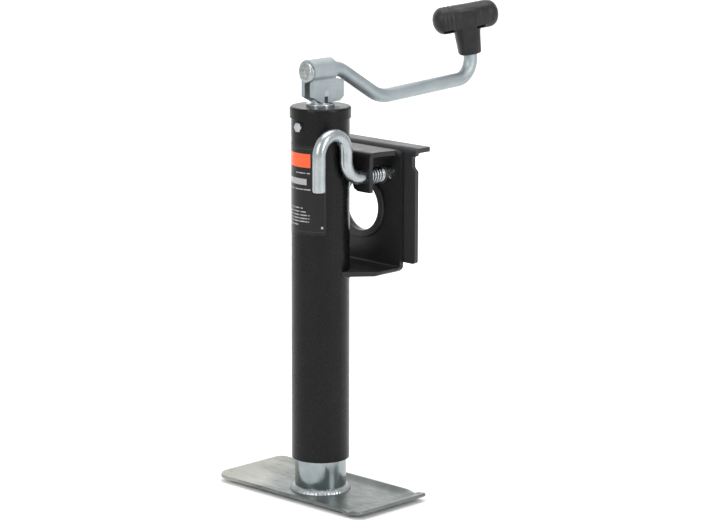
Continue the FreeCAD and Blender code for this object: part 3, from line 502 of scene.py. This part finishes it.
def build_welds():
    bracket_bead, foot_bead = 3.4 * MM, 4.8 * MM
    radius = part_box("outer_tube")[1].x
    leg_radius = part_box("inner_tube")[1].x
    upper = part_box("bracket_weld_upper")
    reach = math.degrees(math.asin(upper[0].y / radius))
    weld_bead("upper_bead", "bracket_weld_upper", "weld_black", "casing", radius, upper[0].z, 1,
              reach + 3, 177 - reach, bracket_bead, 20)
    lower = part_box("bracket_weld_lower")
    weld_bead("lower_bead", "bracket_weld_lower", "weld_black", "casing", radius, lower[1].z, -1,
              7, 173, bracket_bead, 34)
    foot_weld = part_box("foot_weld")
    weld_bead("foot_bead", "foot_weld", "weld_zinc", "leg", leg_radius, foot_weld[0].z, 1,
              0, 360, foot_bead, 52, 0.05)


# The plug weld's section from its rim to its middle: distance out and height, as shares of the CAD piece's.
PLUG_SECTION = [(1.0, 0.0), (1.0, 0.12), (0.96, 0.40), (0.88, 0.62), (0.76, 0.80), (0.60, 0.86),
                (0.44, 0.80), (0.28, 0.86), (0.14, 0.92), (0.03, 0.95)]


def build_crank_weld():
    """The lumpy plug weld over the crank bar's end, facing -Y."""
    low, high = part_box("crank_weld")
    centre_z = (low.z + high.z) / 2
    radius = (high.x - low.x) / 2
    lumps = 0.11
    sides = 72
    rings = []
    for out, lift in PLUG_SECTION:
        ring = []
        for step in range(sides):
            angle = 2 * math.pi * step / sides
            swirl = math.sin(6 * angle + 11 * out) * 0.5 + math.sin(4 * angle - 9 * out + 1) * 0.5
            wobble = swirl * (0.0 if lift == 0 else lumps)
            reach = radius * out * (1 + (0.3 * wobble if out > 0.8 else wobble) - 0.02)
            height = (high.y - low.y) * min(1.0, lift * (1 + 0.9 * wobble))
            ring.append(Vector((reach * math.cos(angle), high.y - height,
                                centre_z + reach * math.sin(angle))))
        rings.append(ring)
    weld = loft("plug_weld", rings)
    smooth(weld, 60)
    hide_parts("crank_weld")
    finish_piece(weld, "weld_zinc", "screw")


# ---------------------------------------------------------------- grip

GRIP_TURN = 54
BAR_HALF, BAR_RADIUS = 34.0 * MM, 13.9 * MM
STEM_LOW, STEM_HEIGHT = -37.4, 33.4


def grip_matrix():
    """Where the grip sits: its centre on its spin axis, its bar turned about that axis."""
    joint = [item for item in frame["joints"] if item["name"] == "grip_spin"][0]
    centre = Vector(joint["pos_m"])
    stem = Vector(joint["axis"]).normalized()
    turn = math.radians(GRIP_TURN)
    forward = Vector((1, 0, 0))
    forward = (forward - stem * forward.dot(stem)).normalized()
    sideways = stem.cross(forward)
    bar = forward * math.cos(turn) + sideways * math.sin(turn)
    third = stem.cross(bar)
    matrix = Matrix.Identity(4)
    for column, vector in enumerate((bar, third, stem, centre)):
        for row in range(3):
            matrix[row][column] = vector[row]
    return matrix


def joined(name, things):
    """Several meshes in one, as they lie."""
    bm = bmesh.new()
    for thing in things:
        bm.from_mesh(thing.data)
        bpy.data.objects.remove(thing)
    return object_from(bm, name)


def cut(thing, cutter):
    knife = thing.modifiers.new("cut", "BOOLEAN")
    knife.operation = "DIFFERENCE"
    knife.object = cutter
    knife.solver = "EXACT"
    apply_modifiers(thing)
    bpy.data.objects.remove(cutter)


def grip_bar():
    """The grip's cross bar along X, with rounded noses and a slight waist."""
    steps = 96
    nose_length, waist_width, waist = 12.5 * MM, 13 * MM, 0.02
    rings = []
    for step in range(steps + 1):
        share = -1 + 2 * step / steps
        x = math.sin(share * math.pi / 2) * BAR_HALF
        nose = min(1.0, (BAR_HALF - abs(x)) / nose_length)
        size = BAR_RADIUS * max(math.sqrt(max(1 - (1 - nose) ** 2.3, 0)), 0.03)
        size *= 1 - waist * math.exp(-((x / waist_width) ** 2))
        rings.append([Vector((x, across, up)) for across, up in superellipse(size, size, 2.25)])
    return loft("grip_bar", rings)


def grip_stem():
    """The grip's stem, down the crank's end, which widens into the bar."""
    steps = 36
    rings = []
    for step in range(steps + 1):
        share = step / steps
        z = (STEM_LOW + STEM_HEIGHT * share) * MM
        wide = (11.5 + 2.6 * share + 4.6 * max(0, share - 0.6) ** 2 * 5) * MM
        deep = (11.2 + 1.2 * share) * MM
        rings.append([Vector((across, up, z)) for across, up in superellipse(wide, deep, 2.6)])
    return loft("grip_stem", rings)


def build_grip():
    """The T-shaped grip: bar and stem fused, ribbed, cored and bored, then set on the crank's end."""
    bar = grip_bar()
    stem = grip_stem()
    grip = joined("t_grip", [bar, stem])
    fuse = grip.modifiers.new("fuse", "REMESH")
    fuse.mode = "VOXEL"
    fuse.voxel_size = 0.55 * MM
    relax = grip.modifiers.new("relax", "SMOOTH")
    relax.factor = 0.5
    relax.iterations = 7
    apply_modifiers(grip)
    shape_grip_surface(grip)
    for side in (-1, 1):
        cut(grip, slot_cutter(side))
    cut(grip, bore_cutter())
    grip.data.transform(grip_matrix())
    smooth(grip, 38)
    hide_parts("grip_knob")
    finish_piece(grip, "grip_plastic", "grip")


RIBS = ((-22.0, 0.50), (-17.8, 0.50), (-13.6, 0.45), (15.0, 0.22), (24.5, 0.30))


def shape_grip_surface(grip):
    """Finger grooves round the bar's ends, the flat middle panel and the parting line."""
    bar_bottom, groove_width, fade_height = -12.5 * MM, 0.95 * MM, 5 * MM
    panel_half, panel_edge, panel_top, panel_low = 7.0 * MM, 0.8 * MM, 9.5 * MM, -36 * MM
    panel_flat, stem_flat, stem_top, panel_least = 12.35 * MM, 11.4 * MM, -11 * MM, 6 * MM
    seam_width, seam_height, seam_low, seam_half = 0.35 * MM, 0.12 * MM, 8 * MM, 33 * MM
    for vertex in grip.data.vertices:
        x, y, z = vertex.co
        around = math.hypot(y, z)
        if z > bar_bottom and around > 1e-5:
            push = 0.0
            for centre, deep in RIBS:
                distance = abs(x - centre * MM)
                push -= deep * MM * math.exp(-((distance / groove_width) ** 2))
            fade = min(1.0, max(0.0, (z - bar_bottom) / fade_height))
            vertex.co.y += y / around * push * fade
            vertex.co.z += z / around * push * fade
        panel = max(0.0, 1 - max(0.0, abs(x) - panel_half) / panel_edge)
        if panel > 0 and panel_low < z < panel_top and abs(y) > panel_least:
            flat = stem_flat if z < stem_top else panel_flat
            target = math.copysign(flat, y)
            vertex.co.y += (target - vertex.co.y) * 0.55 * panel
        if z > seam_low and abs(x) < seam_half:
            vertex.co.z += seam_height * math.exp(-((y / seam_width) ** 2))


def slot_cutter(side):
    """Two cored-out slots low on the bar, one at each end, facing this side."""
    half_height, drop = 1.7, 9.8 * MM
    things = []
    for centre, half in ((13.0, 4.8), (-20.5, 5.6)):
        rings = []
        for y, shrink in ((16.0, 0.0), (9.0, 0.2), (5.0, 0.9)):
            ring = []
            for across, up in superellipse((half - shrink) * MM, (half_height - 0.5 * shrink) * MM, 4.0, 32):
                ring.append(Vector((side * centre * MM + across, -side * y * MM, up - drop)))
            rings.append(ring)
        things.append(loft("slot", rings))
    return joined("slot_cutters", things)


def bore_cutter():
    """The blind hole for the bar, a little larger than it."""
    sides = 48
    rings = []
    for z, radius in ((-40.0, 8.3), (-37.3, 7.6), (-36.4, 7.1), (-7.5, 7.1), (-7.5, 9.4), (-1.5, 9.4)):
        ring = []
        for step in range(sides):
            angle = 2 * math.pi * step / sides
            ring.append(Vector((radius * MM * math.cos(angle), radius * MM * math.sin(angle), z * MM)))
        rings.append(ring)
    return loft("bore_cutter", rings)


# ---------------------------------------------------------------- spring

def build_spring():
    """The pull pin's spring with closed, ground-looking end coils."""
    low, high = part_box("pin_spring")
    wire = 0.85 * MM
    radius = (high.z - low.z) / 2 - wire
    axis_x, axis_z = (low.x + high.x) / 2, (low.z + high.z) / 2
    start, end = low.y + wire, high.y - wire
    turns, flat = 6.2, 0.85
    end_creep = 0.10
    points = []
    steps = int(turns * 40)
    for step in range(steps + 1):
        share = step / steps
        turn = share * turns
        lift = (max(0.0, min(turns - flat, turn) - flat)) / (turns - 2 * flat)
        creep = (min(turn, flat) + max(0.0, turn - (turns - flat))) / (2 * flat)
        y = start + (end - start) * ((1 - end_creep) * lift + end_creep * creep)
        angle = 2 * math.pi * turn
        points.append(Vector((axis_x + radius * math.cos(angle), y, axis_z + radius * math.sin(angle))))
    spring = tube_along("coil_spring", points, wire, 14)
    smooth(spring, 50)
    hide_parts("pin_spring")
    finish_piece(spring, "zinc_bright", "pin")


# ---------------------------------------------------------------- scene

def area_light(name, place, aim, size, power):
    """A white rectangular lamp at a place, turned towards its aim."""
    data = bpy.data.lights.new(name, "AREA")
    data.shape = "RECTANGLE"
    data.size, data.size_y = size
    data.energy = power
    lamp = bpy.data.objects.new(name, data)
    lamp.location = place
    lamp.rotation_euler = (Vector(aim) - Vector(place)).to_track_quat("-Z", "Y").to_euler()
    bpy.context.scene.collection.objects.link(lamp)


def build_studio():
    """A white sweep behind and under the jack, soft boxes round it and a bright even sky."""
    away = Vector((-0.70, 0.71, 0))
    side = Vector((0.71, 0.70, 0))
    floor_end, bend, wall_height, half_width = 2.3, 1.2, 5.0, 5
    steps = 12
    profile = [(-5.0, 0.0), (floor_end, 0.0)]
    for step in range(1, steps + 1):
        angle = math.pi / 2 * step / steps
        profile.append((floor_end + bend * math.sin(angle), bend * (1 - math.cos(angle))))
    profile.append((floor_end + bend, wall_height))
    bm = bmesh.new()
    edges = []
    for along, up in profile:
        middle = away * along
        edges.append([bm.verts.new(middle + side * reach + Vector((0, 0, up)))
                      for reach in (-half_width, half_width)])
    for first, second in zip(edges, edges[1:]):
        bm.faces.new((first[0], first[1], second[1], second[0]))
    sweep = object_from(bm, "studio_sweep")
    smooth(sweep, 60)
    paper = Shader("studio_paper", (0.93, 0.93, 0.93), 0.0, 0.8)
    paper.tint(paper.noise(6, 2), (0.92, 0.92, 0.92))
    sweep.data.materials.append(paper.material)

    world = bpy.data.worlds.new("studio")
    bpy.context.scene.world = world
    world.use_nodes = True
    sky = world.node_tree.nodes["Background"]
    sky.inputs["Color"].default_value = (1, 1, 1, 1)
    sky.inputs["Strength"].default_value = 0.78
    area_light("left_box", (0.2, -2.2, 1.5), (0, 0, 0.25), (0.9, 1.6), 20)
    area_light("right_box", (2.4, 0.3, 1.3), (0, 0, 0.25), (0.7, 1.8), 24)
    area_light("top_box", (-0.2, 0.3, 2.4), (0, 0, 0.2), (1.6, 1.6), 24)
    area_light("backdrop_wash", (-0.8, 0.8, 2.2), (-2.5, 2.5, 0.9), (2.4, 1.2), 40)
    bpy.context.scene.view_settings.view_transform = "Standard"


def build_camera():
    """The view of the photograph: azimuth 45 degrees, slightly above the jack, long lens."""
    azimuth = math.radians(44.816)
    distance, height = 2.83917, 0.83378
    yaw, pitch, roll = -0.0136180, 0.2080348, 0.0025494
    heading = azimuth + yaw
    level = math.cos(pitch)
    ahead = Vector((-math.sin(heading) * level, math.cos(heading) * level, -math.sin(pitch)))
    right = Vector((math.cos(heading), math.sin(heading), 0))
    up = right.cross(ahead)
    right_rolled = right * math.cos(roll) + up * math.sin(roll)
    up_rolled = up * math.cos(roll) - right * math.sin(roll)
    data = bpy.data.cameras.new("camera")
    data.sensor_width = 36
    data.lens = 148.2
    data.clip_end = 50
    camera = bpy.data.objects.new("camera", data)
    matrix = Matrix.Identity(4)
    place = Vector((distance * math.sin(azimuth), -distance * math.cos(azimuth), height))
    for row in range(3):
        matrix[row][0], matrix[row][1] = right_rolled[row], up_rolled[row]
        matrix[row][2], matrix[row][3] = -ahead[row], place[row]
    camera.matrix_world = matrix
    bpy.context.scene.collection.objects.link(camera)
    bpy.context.scene.camera = camera


dress_cad_nodes()
build_foot()
build_welds()
build_crank_weld()
build_grip()
build_spring()
build_studio()
build_camera()
